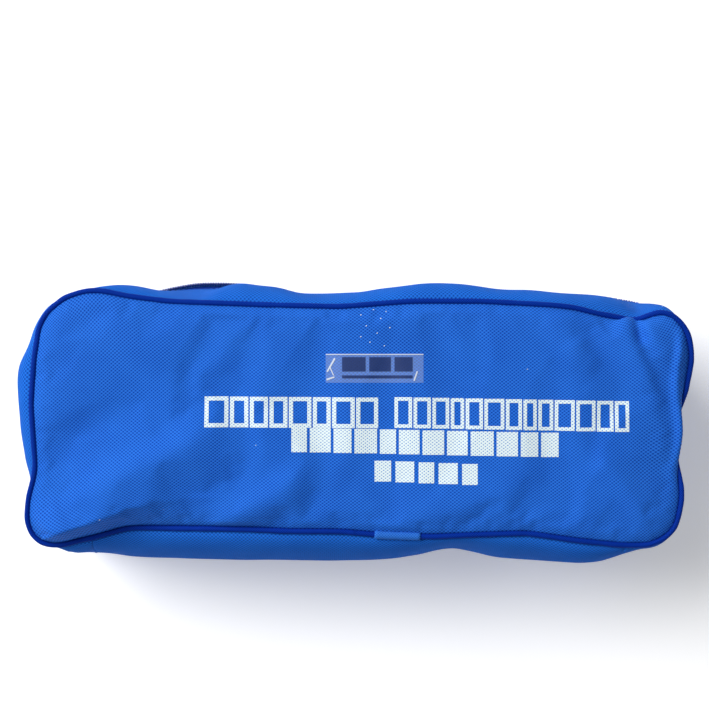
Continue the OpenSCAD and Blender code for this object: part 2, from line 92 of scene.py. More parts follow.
# The front piping, pulled out of line by what is packed: x, y, z.
RIM = [
    (-9, -59, 118), (13, -61, 118), (43, -62, 118), (63, -61, 118), (95, -60, 118), (122, -64, 118),
    (148, -67, 116), (161, -67, 115), (167, -65, 115), (174, -61, 115), (179, -53, 115),
    (181.5, -44, 115), (182, -35, 114), (180, -26, 112), (178, -12, 111), (180, 8, 112), (184, 18, 114),
    (187, 37, 117), (186, 46, 118), (183, 54, 118), (179, 59, 118), (174, 62, 117), (161, 60, 115),
    (154, 58, 113), (148, 60, 114), (135, 62, 117), (122, 65.5, 118), (108, 67, 119), (69, 69, 120),
    (30, 69, 120), (-9, 66, 120), (-50, 67, 119.5), (-104, 69, 119), (-128, 72, 119), (-141, 75, 118.5),
    (-151, 75, 118), (-160, 72, 118), (-168, 66, 118), (-174, 59, 118), (-177, 51, 118.5),
    (-179, 39, 119), (-181, 12, 118.5), (-179, -24, 116), (-181, -32, 114), (-184, -41, 112),
    (-185, -51, 110), (-184, -59, 108.5), (-179, -66, 107), (-171, -68, 106), (-160, -66, 106),
    (-149, -64, 106), (-139, -61, 106.5), (-128, -58, 107.5), (-101, -58, 111), (-63, -58, 116),
    (-36, -59, 117.5),
]
# How far the upper gusset bulges, seen from above: x, y.
BULGE = [
    (-171, -71), (-157, -75), (-134, -76), (-89, -77.4), (-32, -78), (2, -78), (25, -76.6), (36, -75),
    (47, -72.2), (57, -70.8), (70, -73.4), (82, -76), (104, -78.4), (127, -81.4), (138, -80), (150, -76),
    (161, -71), (160, 65), (149, 69.6), (138, 72), (126, 73), (104, 74.7), (81, 77), (58, 79.4),
    (36, 79.4), (25, 78.3), (13, 76.6), (2, 74.7), (-21, 73.6), (-32, 73.8), (-43, 76.4), (-54, 77.5),
    (-66, 78.9), (-75, 77.7), (-80, 75.4), (-86, 73.4), (-94, 73.6), (-105, 74.6), (-114, 76), (-122, 78),
    (-134, 78.7), (-145, 77.5), (-185, 46), (-189, 38), (-191, 33), (-192, 25), (-191.5, 14), (-190.5, 2),
    (-189, -9), (-188, -20), (-185, -29),
]
# How far out the lower gusset bulges from its hem.
LOWER_BULGE = [
    (-150, -80, 5), (-190, -40, 5), (-190, 40, 5), (-175, 76, 4), (-140, 80, 4), (-118, 80, 4.5),
    (-96, 80, 6.5), (-76, 80, 6.5), (-60, 80, 5.5), (-45, 80, 5), (-25, 80, 2.5), (5, 80, 2.5),
    (30, 80, 5), (70, 80, 4), (100, 80, 2.5), (125, 80, 1), (150, 80, -2), (170, 77, -4), (186, 65, -4),
    (190, 40, 2), (190, -40, 4), (150, -80, 5),
]
# How far the zip is drawn in at the mask end's far corner.
ZIP_DRAWN_IN = [
    (118, 80, 0), (149, 80, 2), (163, 79, 4.5), (181, 71, 5), (189, 58, 2.5), (190, 40, 0), (-190, 0, 0),
]
# How far the coil is pushed out where it shows past the upper gusset.
COIL_SHOWS = [
    (-124, 80, 0), (-111, 80, 3.6), (-94, 80, 6.6), (-76, 80, 6.6), (-61, 80, 5.6), (-49, 80, 3),
    (-38, 80, 0), (190, 0, 0),
]
# Elsewhere the upper gusset stays out of sight under the piping.
TUCKED = -7.5
TUCKED_AT = [
    (-160, 77), (-175, 65), (-181, 55), (-184, -36), (-186, -45), (-185, -55), (-181, -66), (168, -68),
    (178, -60), (184, -45), (184, -20), (184, 0), (184, 20), (184, 40), (180, 58), (170, 66),
]

# Creases of the front panel: a line, its height, and how wide it is on the left and on the right of it.
MASK_END_CREASE = [(181, 60), (179.5, 44), (177.4, 30), (175.2, 14), (173.4, -3), (173, -30)]
CREASES = [
    ([(-162, -50), (-131, -31), (-109, -20), (-87, -10), (-60, 2)], 6.2, 12, 17),
    ([(-176, -26), (-152, -6), (-124, 12), (-100, 22)], -2.6, 16, 13),
    ([(-86, -62), (-62, -48), (-42, -37), (-16, -22)], 4.6, 9, 11),
    ([(-150, 62), (-120, 44), (-90, 30)], 1.4, 12, 9),
    (MASK_END_CREASE, 2.4, 7, 2.4),
    (MASK_END_CREASE, 1.2, 1.8, 1.8),
    ([(128, -12), (146, -31), (156, -44), (165, -62)], 2.2, 8, 7),
    ([(143, 62), (151, 45), (159, 30), (164, 12)], 2.6, 5, 9),
    ([(156, 62), (167, 45), (177, 28)], 2.2, 7, 5),
    ([(155, 64), (158, 50), (161, 42)], -3.0, 3, 3.5),
    ([(120, 50), (126, 38), (136, 30)], 1.4, 6, 9),
    ([(10, -60), (60, -44), (112, -34)], 1.3, 12, 12),
    ([(108, 66), (117, 48), (121, 26)], 1.2, 8, 10),
    ([(-20, 64), (10, 56), (50, 58)], 0.8, 9, 9),
]
# The panel breaks along a line near its corner at -X, -Y and drops to the piping below it.
BREAK_LINE = [(-180, -65), (-159, -57.5), (-142, -51.5), (-126, -46), (-109, -42.5), (-87, -40), (-66, -40)]
BREAK_CREST, BREAK_REACH = 123.8, 16  # the line's height, and how far the break is felt above it


def ring(step):
    """Samples round the case, anticlockwise from the middle of the -Y side. For each: the centre that its
    corner turns about, or a straight run's matching point, the way out, and the distance round."""
    cx, cy = HALF_L - CORNER, HALF_W - CORNER
    core, out = [], []

    def straight(a, b, away):
        count = max(2, round(math.dist(a, b) / step))
        for i in range(count):
            core.append((a[0] + (b[0] - a[0]) * i / count, a[1] + (b[1] - a[1]) * i / count))
            out.append(away)

    def turn(centre, start):
        count = round((CORNER - PIPING_IN) * math.pi / 2 / step)
        for i in range(count):
            angle = math.radians(start + 90 * i / count)
            core.append(centre)
            out.append((math.cos(angle), math.sin(angle)))

    straight((0, -cy), (cx, -cy), (0, -1))
    turn((cx, -cy), -90)
    straight((cx, -cy), (cx, cy), (1, 0))
    turn((cx, cy), 0)
    straight((cx, cy), (-cx, cy), (0, 1))
    turn((-cx, cy), 90)
    straight((-cx, cy), (-cx, -cy), (-1, 0))
    turn((-cx, -cy), 180)
    straight((-cx, -cy), (0, -cy), (0, -1))
    core, out = np.array(core, float), np.array(out, float)
    line = core + (CORNER - PIPING_IN) * out
    along = np.concatenate([[0], np.cumsum(np.linalg.norm(np.diff(line, axis=0), axis=1))])
    return core, out, along, along[-1] + np.linalg.norm(line[-1] - line[0])


CORE, OUT, ALONG, ROUND = ring(STEP)
N = len(ALONG)


def inset(distance):
    """The outline that lies this far inside the widest one."""
    return CORE + (CORNER - distance) * OUT


def nearest(line, point):
    return int(np.argmin(np.linalg.norm(line - np.array(point[:2]), axis=1)))


def smoothed(values, sigma):
    """Values round the ring after a circular Gaussian blur, sigma in mm."""
    reach = np.arange(-int(4 * sigma / STEP), int(4 * sigma / STEP) + 1)
    weights = np.exp(-0.5 * (reach * STEP / sigma) ** 2)
    weights /= weights.sum()
    return sum(w * np.roll(values, k, axis=0) for k, w in zip(reach, weights))


def round_trip(points, values, sigma):
    """Values known at some points near the case's edge, spread all round it."""
    at = np.array([ALONG[nearest(inset(4), p)] for p in points])
    order = np.argsort(at)
    return smoothed(np.interp(ALONG, at[order], np.array(values, float)[order], period=ROUND), sigma)


# 0 where the samples start and end, 1 away from there.
OFF_START = np.clip(np.minimum(ALONG, ROUND - ALONG) / 25, 0, 1)


def wave(x, seed, length):
    """Smooth noise along x, about -1 to 1, that doesn't repeat."""
    pick = np.random.default_rng(seed)
    total = np.zeros_like(np.asarray(x, float))
    for octave in range(2):
        for _ in range(5):
            pitch = length / 2 ** octave / pick.uniform(0.6, 1.5)
            total += np.sin(2 * math.pi * x / pitch + pick.uniform(0, 6.28)) / 3.2 / 1.6 ** octave
    return total


def bump_shape(t, power):
    """0 at both ends of 0 to 1 and 1 in the middle."""
    return np.sin(math.pi * np.clip(t, 0, 1)) ** power


def front_piping_line():
    plan = inset(PIPING_IN)
    home = [plan[nearest(plan, p)] for p in RIM]
    dx = round_trip(RIM, [p[0] - h[0] for p, h in zip(RIM, home)], 3.5)
    dy = round_trip(RIM, [p[1] - h[1] for p, h in zip(RIM, home)], 3.5)
    return np.column_stack([plan[:, 0] + dx, plan[:, 1] + dy, round_trip(RIM, [p[2] for p in RIM], 6)])


def outward(line):
    """Unit vectors in plan, square to a closed line and pointing out of it."""
    run = np.roll(line[:, :2], -1, axis=0) - np.roll(line[:, :2], 1, axis=0)
    run /= np.linalg.norm(run, axis=1)[:, None]
    return np.column_stack([run[:, 1], -run[:, 0]])


FRONT = front_piping_line()
FRONT_OUT = outward(FRONT)
BACK = np.column_stack([inset(PIPING_IN), np.full(N, 1.9)])
BACK_OUT = outward(BACK)

DRAWN_IN = round_trip(ZIP_DRAWN_IN, [p[2] for p in ZIP_DRAWN_IN], 5.0)
COIL_OUT = round_trip(COIL_SHOWS, [p[2] for p in COIL_SHOWS], 4.0)


def zip_line(distance, height):
    """As inset, but moved as the zip is at this height."""
    lean = min(1.0, 1.1 * max(0.0, 1 - abs(height - ZIP_Z) / TAPE_HALF))
    return inset(distance) + (lean * COIL_OUT - DRAWN_IN)[:, None] * OUT


# ---------------- meshes

def whole(faces):
    return [tuple(int(i) for i in face) for face in faces]


def make_mesh(name, verts, faces, uv=None, material=None, shade_smooth=True):
    """A mesh object from points in mm. uv holds a pair of flat-pattern mm for each point."""
    mesh = bpy.data.meshes.new(name)
    mesh.from_pydata([tuple(v) for v in np.asarray(verts, float) * MM], [], whole(faces))
    mesh.update()
    if uv is not None:
        index = np.zeros(len(mesh.loops), np.int32)
        mesh.loops.foreach_get("vertex_index", index)
        mesh.uv_layers.new(name="flat_mm").data.foreach_set("uv", np.asarray(uv, np.float32)[index].ravel())
    mesh.polygons.foreach_set("use_smooth", [shade_smooth] * len(mesh.polygons))
    if material:
        mesh.materials.append(material)
    obj = bpy.data.objects.new(name, mesh)
    bpy.context.scene.collection.objects.link(obj)
    return obj


def settle_on(obj, body, slot, *nodes):
    """The piece rides on a body and stands for CAD nodes, which it hides. slot is not used."""
    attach(obj, body)
    if nodes:
        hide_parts(*nodes)


def apply_modifiers(obj):
    done = bpy.data.meshes.new_from_object(obj.evaluated_get(bpy.context.evaluated_depsgraph_get()))
    obj.modifiers.clear()
    obj.data = done


def thicken(obj, thickness, lining):
    """Gives a fabric its thickness on the inside, where it shows the lining."""
    obj.data.materials.append(lining)
    modifier = obj.modifiers.new("thickness", "SOLIDIFY")
    modifier.thickness = thickness * MM
    modifier.offset = -1
    modifier.material_offset = 1
    apply_modifiers(obj)


def grid_faces(rows, cols, closed=False, flip=False):
    """Quads over rows of cols points, each row closed on itself or open."""
    faces = []
    for r in range(rows - 1):
        for c in range(cols if closed else cols - 1):
            d = (c + 1) % cols
            quad = (r * cols + c, r * cols + d, (r + 1) * cols + d, (r + 1) * cols + c)
            faces.append(quad[::-1] if flip else quad)
    return faces


def barrel_faces(first, rows, sides, capped=True, flip=False):
    """Faces of a stack of closed outlines, whose points start at first: the quads, then the two ends."""
    faces = grid_faces(rows, sides, closed=True)
    if capped:
        last = (rows - 1) * sides
        faces += [tuple(range(sides))[::-1], tuple(range(last, last + sides))]
    return [tuple(first + i for i in (face[::-1] if flip else face)) for face in faces]


def run_of(points):
    return np.concatenate([[0], np.cumsum(np.linalg.norm(np.diff(points, axis=0), axis=1))])


def sweep(name, path, section, closed, material, twist=None, grow=None):
    """A section of (sideways, upwards) points carried along a path."""
    path = np.asarray(path, float)
    count, sides = len(path), len(section)
    run = np.roll(path, -1, axis=0) - np.roll(path, 1, axis=0) if closed else np.gradient(path, axis=0)
    run /= np.linalg.norm(run, axis=1)[:, None]
    side = np.cross(run, np.tile([0.0, 0.0, 1.0], (count, 1)))
    side /= np.linalg.norm(side, axis=1)[:, None]
    up = np.cross(side, run)
    size = np.ones(count) if grow is None else np.asarray(grow)
    angle = np.zeros(count) if twist is None else np.asarray(twist)
    verts, uv = [], []
    girth = run_of(np.array(list(section) + [section[0]], float))
    for k, (a, b) in enumerate(section):
        x = size * (a * np.cos(angle) - b * np.sin(angle))
        z = size * (a * np.sin(angle) + b * np.cos(angle))
        verts.append(path + x[:, None] * side + z[:, None] * up)
        uv.append(np.column_stack([run_of(path), np.full(count, girth[k])]))
    faces = []
    for k in range(sides):
        j = (k + 1) % sides
        for i in range(count if closed else count - 1):
            d = (i + 1) % count
            faces.append((k * count + i, k * count + d, j * count + d, j * count + i))
    if not closed:
        faces.append([k * count for k in range(sides)])
        faces.append([k * count + count - 1 for k in reversed(range(sides))])
    return make_mesh(name, np.concatenate(verts), faces, np.concatenate(uv), material)


def round_section(width, height, sides=14):
    return [(width / 2 * math.cos(2 * math.pi * k / sides), height / 2 * math.sin(2 * math.pi * k / sides))
            for k in range(sides)]


# ---------------- materials

def linear(r, g, b):
    """A colour given in 0-255 sRGB."""
    parts = (c / 255 for c in (r, g, b))
    return tuple(p / 12.92 if p <= 0.04045 else ((p + 0.055) / 1.055) ** 2.4 for p in parts)


class Shader:
    """A material with short spellings for its node tree's arithmetic."""

    def __init__(self, name):
        self.material = bpy.data.materials.new(name)
        self.material.use_nodes = True
        self.tree = self.material.node_tree
        self.main = self.tree.nodes["Principled BSDF"]

    def put(self, socket, value):
        if isinstance(value, bpy.types.NodeSocket):
            self.tree.links.new(value, socket)
        elif isinstance(value, tuple) and len(socket.default_value) == 4:
            socket.default_value = (*value, 1)
        else:
            socket.default_value = value

    def set(self, **inputs):
        for name, value in inputs.items():
            self.put(self.main.inputs[name.replace("_", " ")], value)

    def node(self, kind, **properties):
        made = self.tree.nodes.new(kind)
        for name, value in properties.items():
            setattr(made, name, value)
        return made

    def math(self, operation, *values):
        made = self.node("ShaderNodeMath", operation=operation)
        for socket, value in zip(made.inputs, values):
            self.put(socket, value)
        return made.outputs[0]

    def mix(self, amount, a, b):
        made = self.node("ShaderNodeMix", data_type="RGBA")
        self.put(made.inputs[0], amount)
        self.put(made.inputs[6], a)
        self.put(made.inputs[7], b)
        return made.outputs[2]

    def noise(self, where, scale, detail=2.0):
        made = self.node("ShaderNodeTexNoise")
        self.put(made.inputs["Vector"], where)
        self.put(made.inputs["Scale"], scale)
        self.put(made.inputs["Detail"], detail)
        return made.outputs["Fac"]

    def bump(self, height, depth):
        made = self.node("ShaderNodeBump")
        self.put(made.inputs["Distance"], depth * MM)
        self.put(made.inputs["Height"], height)
        self.put(self.main.inputs["Normal"], made.outputs[0])

    def weave(self, cell_u, cell_v):
        """Flat-pattern place and height of a plain weave. Every other cell has a pit in its middle."""
        uv = self.node("ShaderNodeUVMap", uv_map="flat_mm").outputs[0]
        part = self.node("ShaderNodeSeparateXYZ")
        self.put(part.inputs[0], uv)
        u = self.math("DIVIDE", part.outputs[0], cell_u)
        v = self.math("DIVIDE", part.outputs[1], cell_v)
        cell = self.math("ADD", self.math("FLOOR", u), self.math("FLOOR", v))
        weft = self.math("MODULO", self.math("ABSOLUTE", cell), 2.0)
        across = self.math("SINE", self.math("MULTIPLY", self.math("FRACT", u), math.pi))
        up = self.math("SINE", self.math("MULTIPLY", self.math("FRACT", v), math.pi))
        dome = self.math("MULTIPLY", across, up)
        pit = self.math("MULTIPLY", self.math("POWER", dome, 0.7), weft)
        thread = self.math("MULTIPLY", dome, self.math("SUBTRACT", 1.0, weft))
        raised = self.math("MULTIPLY_ADD", thread, 0.22, 0.78)
        return uv, self.math("SUBTRACT", raised, self.math("MULTIPLY", pit, 0.78))


SHELL_CELL = (1.125, 1.0)  # size of one cell of the shell's weave


def fabric(name, light, dark, cell=SHELL_CELL, relief=0.22, roughness=0.55, sheen=0.01):
    """Woven cloth: pale threads, painted shade in the hollows between them, and a slow drift in tone."""
    cloth = Shader(name)
    uv, height = cloth.weave(*cell)
    drift = cloth.noise(uv, 0.035, 4.0)
    # The colour follows the weave's height, so its hollows are darkened as painted shade; the drift is random
    # tone.
    tone = cloth.math("ADD", height, cloth.math("MULTIPLY_ADD", drift, 0.4, -0.2))
    cloth.set(Base_Color=cloth.mix(tone, dark, light), Roughness=roughness, Specular_IOR_Level=0.02,
              Sheen_Weight=sheen, Sheen_Roughness=0.4, Sheen_Tint=(0.3, 0.6, 1.0))
    cloth.bump(height, relief)
    return cloth.material


def print_on_weave(name):
    """Ink on the threads' tops. The cloth shows in the deepest hollows and where the print is worn."""
    ink = Shader(name)
    uv, height = ink.weave(*SHELL_CELL)
    worn = ink.noise(uv, 1.4, 4.0)
    cover = ink.math("MULTIPLY_ADD", height, 1.6, ink.math("MULTIPLY_ADD", worn, 1.5, -0.75))
    clamp = ink.node("ShaderNodeClamp")
    ink.put(clamp.inputs[0], cover)
    ink.set(Base_Color=ink.mix(clamp.outputs[0], linear(70, 130, 205), linear(232, 246, 246)), Roughness=0.6)
    ink.bump(height, 0.1)
    return ink.material


def finish(name, colour, roughness=0.5, grain=0.04, scale=60.0, relief=0.0, **inputs):
    """A plain finish: a colour with a faint, fine variation in tone, gloss and, if asked for, height."""
    made = Shader(name)
    where = made.node("ShaderNodeTexCoord").outputs["Object"]
    mottle = made.noise(where, scale, 4.0)
    dark = tuple(c * (1 - 3 * grain) for c in colour)
    light = tuple(min(1.0, c * (1 + 2 * grain)) for c in colour)
    made.set(Base_Color=made.mix(mottle, dark, light),
             Roughness=made.math("MULTIPLY_ADD", mottle, 0.16, max(0.0, roughness - 0.08)), **inputs)
    if relief:
        made.bump(mottle, relief)
    return made.material


SHELL = fabric("shell_weave", linear(45, 118, 225), linear(12, 56, 156))
GUSSET = fabric("gusset_weave", linear(36, 114, 218), linear(10, 52, 146), roughness=0.75, sheen=0.0)
# The piping's deep navy is partly its own colour and partly painted shade along the piping.
TRIM = fabric("piping_weave", linear(10, 56, 168), linear(2, 16, 84), cell=(0.7, 0.6), relief=0.1)
TAPE = fabric("zip_tape_weave", linear(20, 62, 168), linear(4, 20, 78), cell=(0.5, 0.9), relief=0.1)
LINING = finish("coated_back", linear(34, 76, 168), 0.42, grain=0.05, scale=900, relief=0.05)
INK = print_on_weave("print_ink")
COIL = finish("zip_coil_nylon", linear(18, 48, 130), 0.35)
ENAMEL = finish("zip_enamel", linear(16, 42, 122), 0.3, Coat_Weight=0.4)
STEEL = finish("bare_metal", linear(190, 192, 196), 0.3, Metallic=1.0)
THREAD = finish("thread", linear(38, 96, 204), 0.6, grain=0.08, scale=2000)
CLEAR = finish("clear_plastic", linear(232, 240, 244), 0.1, grain=0.01, Transmission_Weight=0.9, IOR=1.5)
AMBER = finish("amber_plastic", linear(222, 166, 84), 0.14, grain=0.02, Transmission_Weight=0.75, IOR=1.55)
SILICONE = finish("bag_silicone", linear(216, 222, 216), 0.38, grain=0.03, scale=25, relief=0.02,
                  Transmission_Weight=0.3, Subsurface_Weight=0.3, Subsurface_Scale=0.004)
VALVE = finish("valve_silicone", linear(96, 156, 214), 0.45)
RUBBER = finish("seal_rubber", linear(26, 26, 28), 0.6)
CAP = finish("cap_plastic", linear(30, 84, 176), 0.28)
FILM = finish("reservoir_film", linear(222, 230, 236), 0.24, grain=0.02, Transmission_Weight=0.35, IOR=1.3)
LATEX = finish("band_rubber", linear(206, 172, 112), 0.55, relief=0.02, scale=700)
CUSHION = finish("cushion_vinyl", linear(142, 186, 226), 0.26, grain=0.02, Transmission_Weight=0.25,
                 Subsurface_Weight=0.2, Subsurface_Scale=0.003)
LABEL = finish("sticker_film", linear(176, 206, 244), 0.14, grain=0.03, scale=500, Alpha=0.25)
LABEL_INK = finish("sticker_ink", linear(6, 44, 108), 0.5, Alpha=0.78)
# Painted highlight: near-white marks on the sticker that stand for light glinting off its creases and its top
# edge.
GLINT = finish("painted_glint_white", linear(235, 243, 252), 0.2, Alpha=0.75)
PATCH = fabric("patch_weave", linear(56, 126, 218), linear(16, 66, 168), cell=(0.8, 0.8), relief=0.15)

# ---------------- front and back panels


def spread_inwards(points, edge, values):
    """Values known on a closed edge, spread over points inside it (mean value coordinates)."""
    result = np.zeros((len(points), values.shape[1]))
    following = np.roll(np.arange(len(edge)), -1)
    for start in range(0, len(points), 3000):
        away = edge[None] - points[start:start + 3000, None]
        far = np.linalg.norm(away, axis=2) + 1e-9
        dot = (away * away[:, following]).sum(2)
        cross = away[:, :, 0] * away[:, following, 1] - away[:, :, 1] * away[:, following, 0]
        half_tangent = (far * far[:, following] - dot) / np.where(np.abs(cross) < 1e-9, 1e-9, cross)
        weight = (half_tangent + np.roll(half_tangent, 1, axis=1)) / far
        result[start:start + 3000] = (weight / weight.sum(1, keepdims=True)) @ values
    return result


def from_edge(points):
    """How far flat points lie inside the panel's cut edge."""
    beyond = np.abs(points) - np.array([HALF_L - CORNER, HALF_W - CORNER])
    outside = np.hypot(*np.maximum(beyond, 0).T) + np.minimum(beyond.max(1), 0)
    return CORNER - PANEL_IN - outside


def flat_pattern(spacing):
    """Points and triangles over a panel's flat cut. The first N points are its edge."""
    rows = int(2 * HALF_W / (spacing * 0.866)) + 1
    cols = int(2 * HALF_L / spacing) + 1
    grid = np.array([((i + 0.5 * (j % 2)) * spacing - HALF_L, j * spacing * 0.866 - HALF_W)
                     for j in range(rows) for i in range(cols)])
    inner = grid[from_edge(grid) > 0.55 * spacing]
    points = np.vstack([inset(PANEL_IN), inner])
    made = delaunay_2d_cdt([Vector(p) for p in points], [(i, (i + 1) % N) for i in range(N)], [], 1, 1e-5)
    return np.array([tuple(v) for v in made[0]]), np.array(made[2])


def beside(plan, line):
    """For plan points: how far a line is, the side (1 is its left), and how far along it they lie, 0 to 1."""
    line = np.array(line, float)
    runs = np.diff(line, axis=0)
    lengths = np.linalg.norm(runs, axis=1)
    before = run_of(line)
    best, side, along = np.full(len(plan), 1e9), np.ones(len(plan)), np.zeros(len(plan))
    for start, run, length, passed in zip(line, runs, lengths, before):
        t = np.clip(((plan - start) @ run) / length ** 2, 0, 1)
        away = plan - (start + t[:, None] * run)
        far = np.linalg.norm(away, axis=1)
        closer = far < best
        best = np.where(closer, far, best)
        side = np.where(closer, np.sign(run[0] * away[:, 1] - run[1] * away[:, 0]), side)
        along = np.where(closer, (passed + t * length) / before[-1], along)
    return best, side, along


def eased(t):
    t = np.clip(t, 0, 1)
    return t * t * (3 - 2 * t)


def crease(plan, line, height, left, right):
    """Height that one crease adds at plan points."""
    far, side, along = beside(plan, line)
    ends = eased(along / 0.25) * eased((1 - along) / 0.35)
    return height * (0.1 + 0.9 * ends) * np.exp(-(far / np.where(side > 0, left, right)) ** 2)


def broken(place, inside, rim):
    """Heights of the panel after it breaks. On the right of the break's line it drops straight to the rim."""
    far, side, along = beside(place[:, :2], BREAK_LINE)
    crest = place[:, 2] + (BREAK_CREST - place[:, 2]) * (0.3 + 0.7 * eased(along / 0.17))
    slope = rim + (crest - rim) * (inside / (inside + far + 1e-6)) ** 0.9
    shoulder = place[:, 2] + (crest - place[:, 2]) * np.exp(-(far / BREAK_REACH) ** 2)
    below = np.clip(inside / 2.5, 0, 1) * np.exp(-(np.maximum(far - 22, 0) / 8) ** 2)
    strength = eased((1 - along) / 0.45) * np.where(side > 0, eased(inside / 8), below)
    return place[:, 2] + (np.where(side > 0, shoulder, slope) - place[:, 2]) * strength


def front_surface(flat):
    """Where the front panel's flat points lie before the cloth settles."""
    cut = inset(PANEL_IN)
    seam = np.column_stack([FRONT[:, :2] - 1.2 * FRONT_OUT, FRONT[:, 2] + 0.2])
    shift = np.column_stack([seam[:, :2] - cut, seam[:, 2]])
    moved = np.zeros((len(flat), 3))
    moved[:N] = shift
    moved[N:] = spread_inwards(flat[N:], cut[::2], shift[::2])
    place = np.column_stack([flat + moved[:, :2], moved[:, 2]])
    inside = np.maximum(from_edge(flat), 0)
    free = 1 - np.exp(-inside / 26)
    rim = place[:, 2] + 1.0
    level = 118.8 + 0.8 * np.cos(place[:, 0] / HALF_L * 1.4)
    place[:, 2] += (level - place[:, 2]) * free + 3.4 * (1 - np.exp(-inside / 7.0))
    near_break = place[:, 0] < -40
    place[near_break, 2] = broken(place[near_break], inside[near_break], rim[near_break])
    for line, height, left, right in CREASES:
        place[:, 2] += crease(place[:, :2], line, height, left, right) * np.clip(inside / 4.0, 0, 1)
    # It hangs over its own seam halfway along the mask end, and over the dip near that end's far corner.
    lip = np.exp(-((inside - 4) / np.where(inside > 4, 12, 5)) ** 2) * np.clip(inside / 2.5, 0, 1)
    place[:, 0] += 7.6 * lip * np.exp(-((place[:, 1] + 6) / 22) ** 2) * (place[:, 0] > HINGE_X)
    place[:, 1] += 4.4 * lip * np.exp(-((place[:, 0] - 152) / 7) ** 2) * (place[:, 1] > 30)
    near = np.where(inside < 12)[0]
    at = ALONG[np.argmin(((flat[near][:, None] - cut[None]) ** 2).sum(2), axis=1)]
    pucker = wave(at, 3, 16.0) * np.exp(-((inside[near] - 3) / 3.5) ** 2) * np.clip(inside[near], 0, 1)
    place[near, 2] += 0.18 * pucker
    return place


def settle(points, triangles, held):
    """How points of a cloth a little too big for its held edge move as it finds creases of its own."""
    cloth = make_mesh("settling", points, triangles)
    group = cloth.vertex_groups.new(name="held")
    group.add(list(range(held)), 1.0, "REPLACE")
    modifier = cloth.modifiers.new("cloth", "CLOTH")
    stuff = modifier.settings
    stuff.quality = 8
    stuff.mass = 0.0006
    stuff.tension_stiffness = stuff.compression_stiffness = 30
    stuff.shear_stiffness = 12
    stuff.bending_stiffness = 8.0
    stuff.air_damping = 5.0
    stuff.vertex_group_mass = "held"
    stuff.shrink_min = -CLOTH_GROWTH
    stuff.effector_weights.gravity = 0.0
    modifier.collision_settings.use_collision = False
    modifier.point_cache.frame_end = CLOTH_FRAMES
    for f in range(1, CLOTH_FRAMES + 1):
        bpy.context.scene.frame_set(f)
    done = cloth.evaluated_get(bpy.context.evaluated_depsgraph_get()).data
    moved = np.array([tuple(v.co) for v in done.vertices]) / MM - points
    bpy.data.objects.remove(cloth)
    bpy.context.scene.frame_set(1)
    return moved


FLAT, TRIS = flat_pattern(FINE)
front_points = front_surface(FLAT)
coarse_flat, coarse_tris = flat_pattern(COARSE)
coarse = front_surface(coarse_flat)
moved = settle(coarse, coarse_tris, N)
moved *= np.minimum(1, MOST_MOVE / (np.linalg.norm(moved, axis=1) + 1e-9))[:, None]
tree = BVHTree.FromPolygons([Vector((*p, 0)) for p in coarse_flat], whole(coarse_tris))
for i, (x, y) in enumerate(FLAT[N:], N):
    _, _, index, _ = tree.find_nearest(Vector((x, y, 0)))
    corners = coarse_tris[index]
    flat_corners = [Vector((*coarse_flat[c], 0)) for c in corners]
    moves = [Vector(moved[c]) for c in corners]
    front_points[i] += np.array(barycentric_transform(Vector((x, y, 0)), *flat_corners, *moves))

front_panel = make_mesh("front_panel_cloth", front_points, TRIS, FLAT, SHELL)
front_normals = np.array([tuple(v.normal) for v in front_panel.data.vertices])
FRONT_TREE = BVHTree.FromPolygons([Vector(p) for p in front_points], whole(TRIS))
thicken(front_panel, PANEL_THICK, LINING)
settle_on(front_panel, "lid", "shell_fabric", "front_panel")

back_height = 1.3 * np.exp(-np.maximum(from_edge(FLAT), 0) / 3.0)
back_panel = make_mesh("back_panel_cloth", np.column_stack([FLAT, back_height]), TRIS[:, ::-1], FLAT, SHELL)
thicken(back_panel, PANEL_THICK, LINING)
settle_on(back_panel, "base", "shell_fabric", "back_panel")

# ---------------- gussets


def wall(start, end, rows, push, power, flat_top, folds):
    """Rows of points from one closed line to another. They stand out by push halfway, and folds adds to that.
    The higher flat_top is, the later they turn down."""
    made = []
    for t in np.linspace(0, 1, rows):
        row = start * (1 - t) + end * t
        row[:, 2] = start[:, 2] + (end - start)[:, 2] * t ** flat_top
        row[:, :2] += (push * bump_shape(t, power) + folds(t) * OFF_START)[:, None] * OUT
        made.append(row)
    return np.array(made)


def overshoot(line):
    """How far out of a closed line the upper gusset's bulge reaches."""
    edge = inset(0)
    values = [float((np.array(p) - edge[nearest(edge, p)]) @ OUT[nearest(edge, p)]) for p in BULGE]
    reach = round_trip(BULGE + TUCKED_AT, values + [TUCKED] * len(TUCKED_AT), 3.0)
    return ((edge + reach[:, None] * OUT - line[:, :2]) * OUT).sum(1)


lid_top = np.column_stack([FRONT[:, :2] + 0.9 * FRONT_OUT, FRONT[:, 2] - 0.9])
lid_hem = np.column_stack([zip_line(HEM_IN, HEM_LID), np.full(N, HEM_LID)])
base_hem = np.column_stack([zip_line(HEM_IN, HEM_BASE), np.full(N, HEM_BASE)])
base_foot = np.column_stack([BACK[:, :2] + 0.9 * BACK_OUT, np.full(N, 2.9)])

lid_push = overshoot((lid_top + lid_hem) / 2)
lid_wall = wall(
    lid_top, lid_hem, GUSSET_ROWS, lid_push, 0.75, 1.5,
    lambda t: 0.6 * bump_shape(t, 1.2) * (wave(ALONG, 11, 120) + 0.4 * wave(ALONG + 25 * t, 12, 40)))
lower_bulge = round_trip(LOWER_BULGE, [p[2] for p in LOWER_BULGE], 5.0)
base_wall = wall(
    base_hem, base_foot, GUSSET_ROWS, lower_bulge, 0.75, 1.0,
    lambda t: 0.6 * bump_shape(t, 1.0) * (wave(ALONG + 10 * t, 21, 110) + 0.5 * wave(ALONG - 20 * t, 22, 36)))
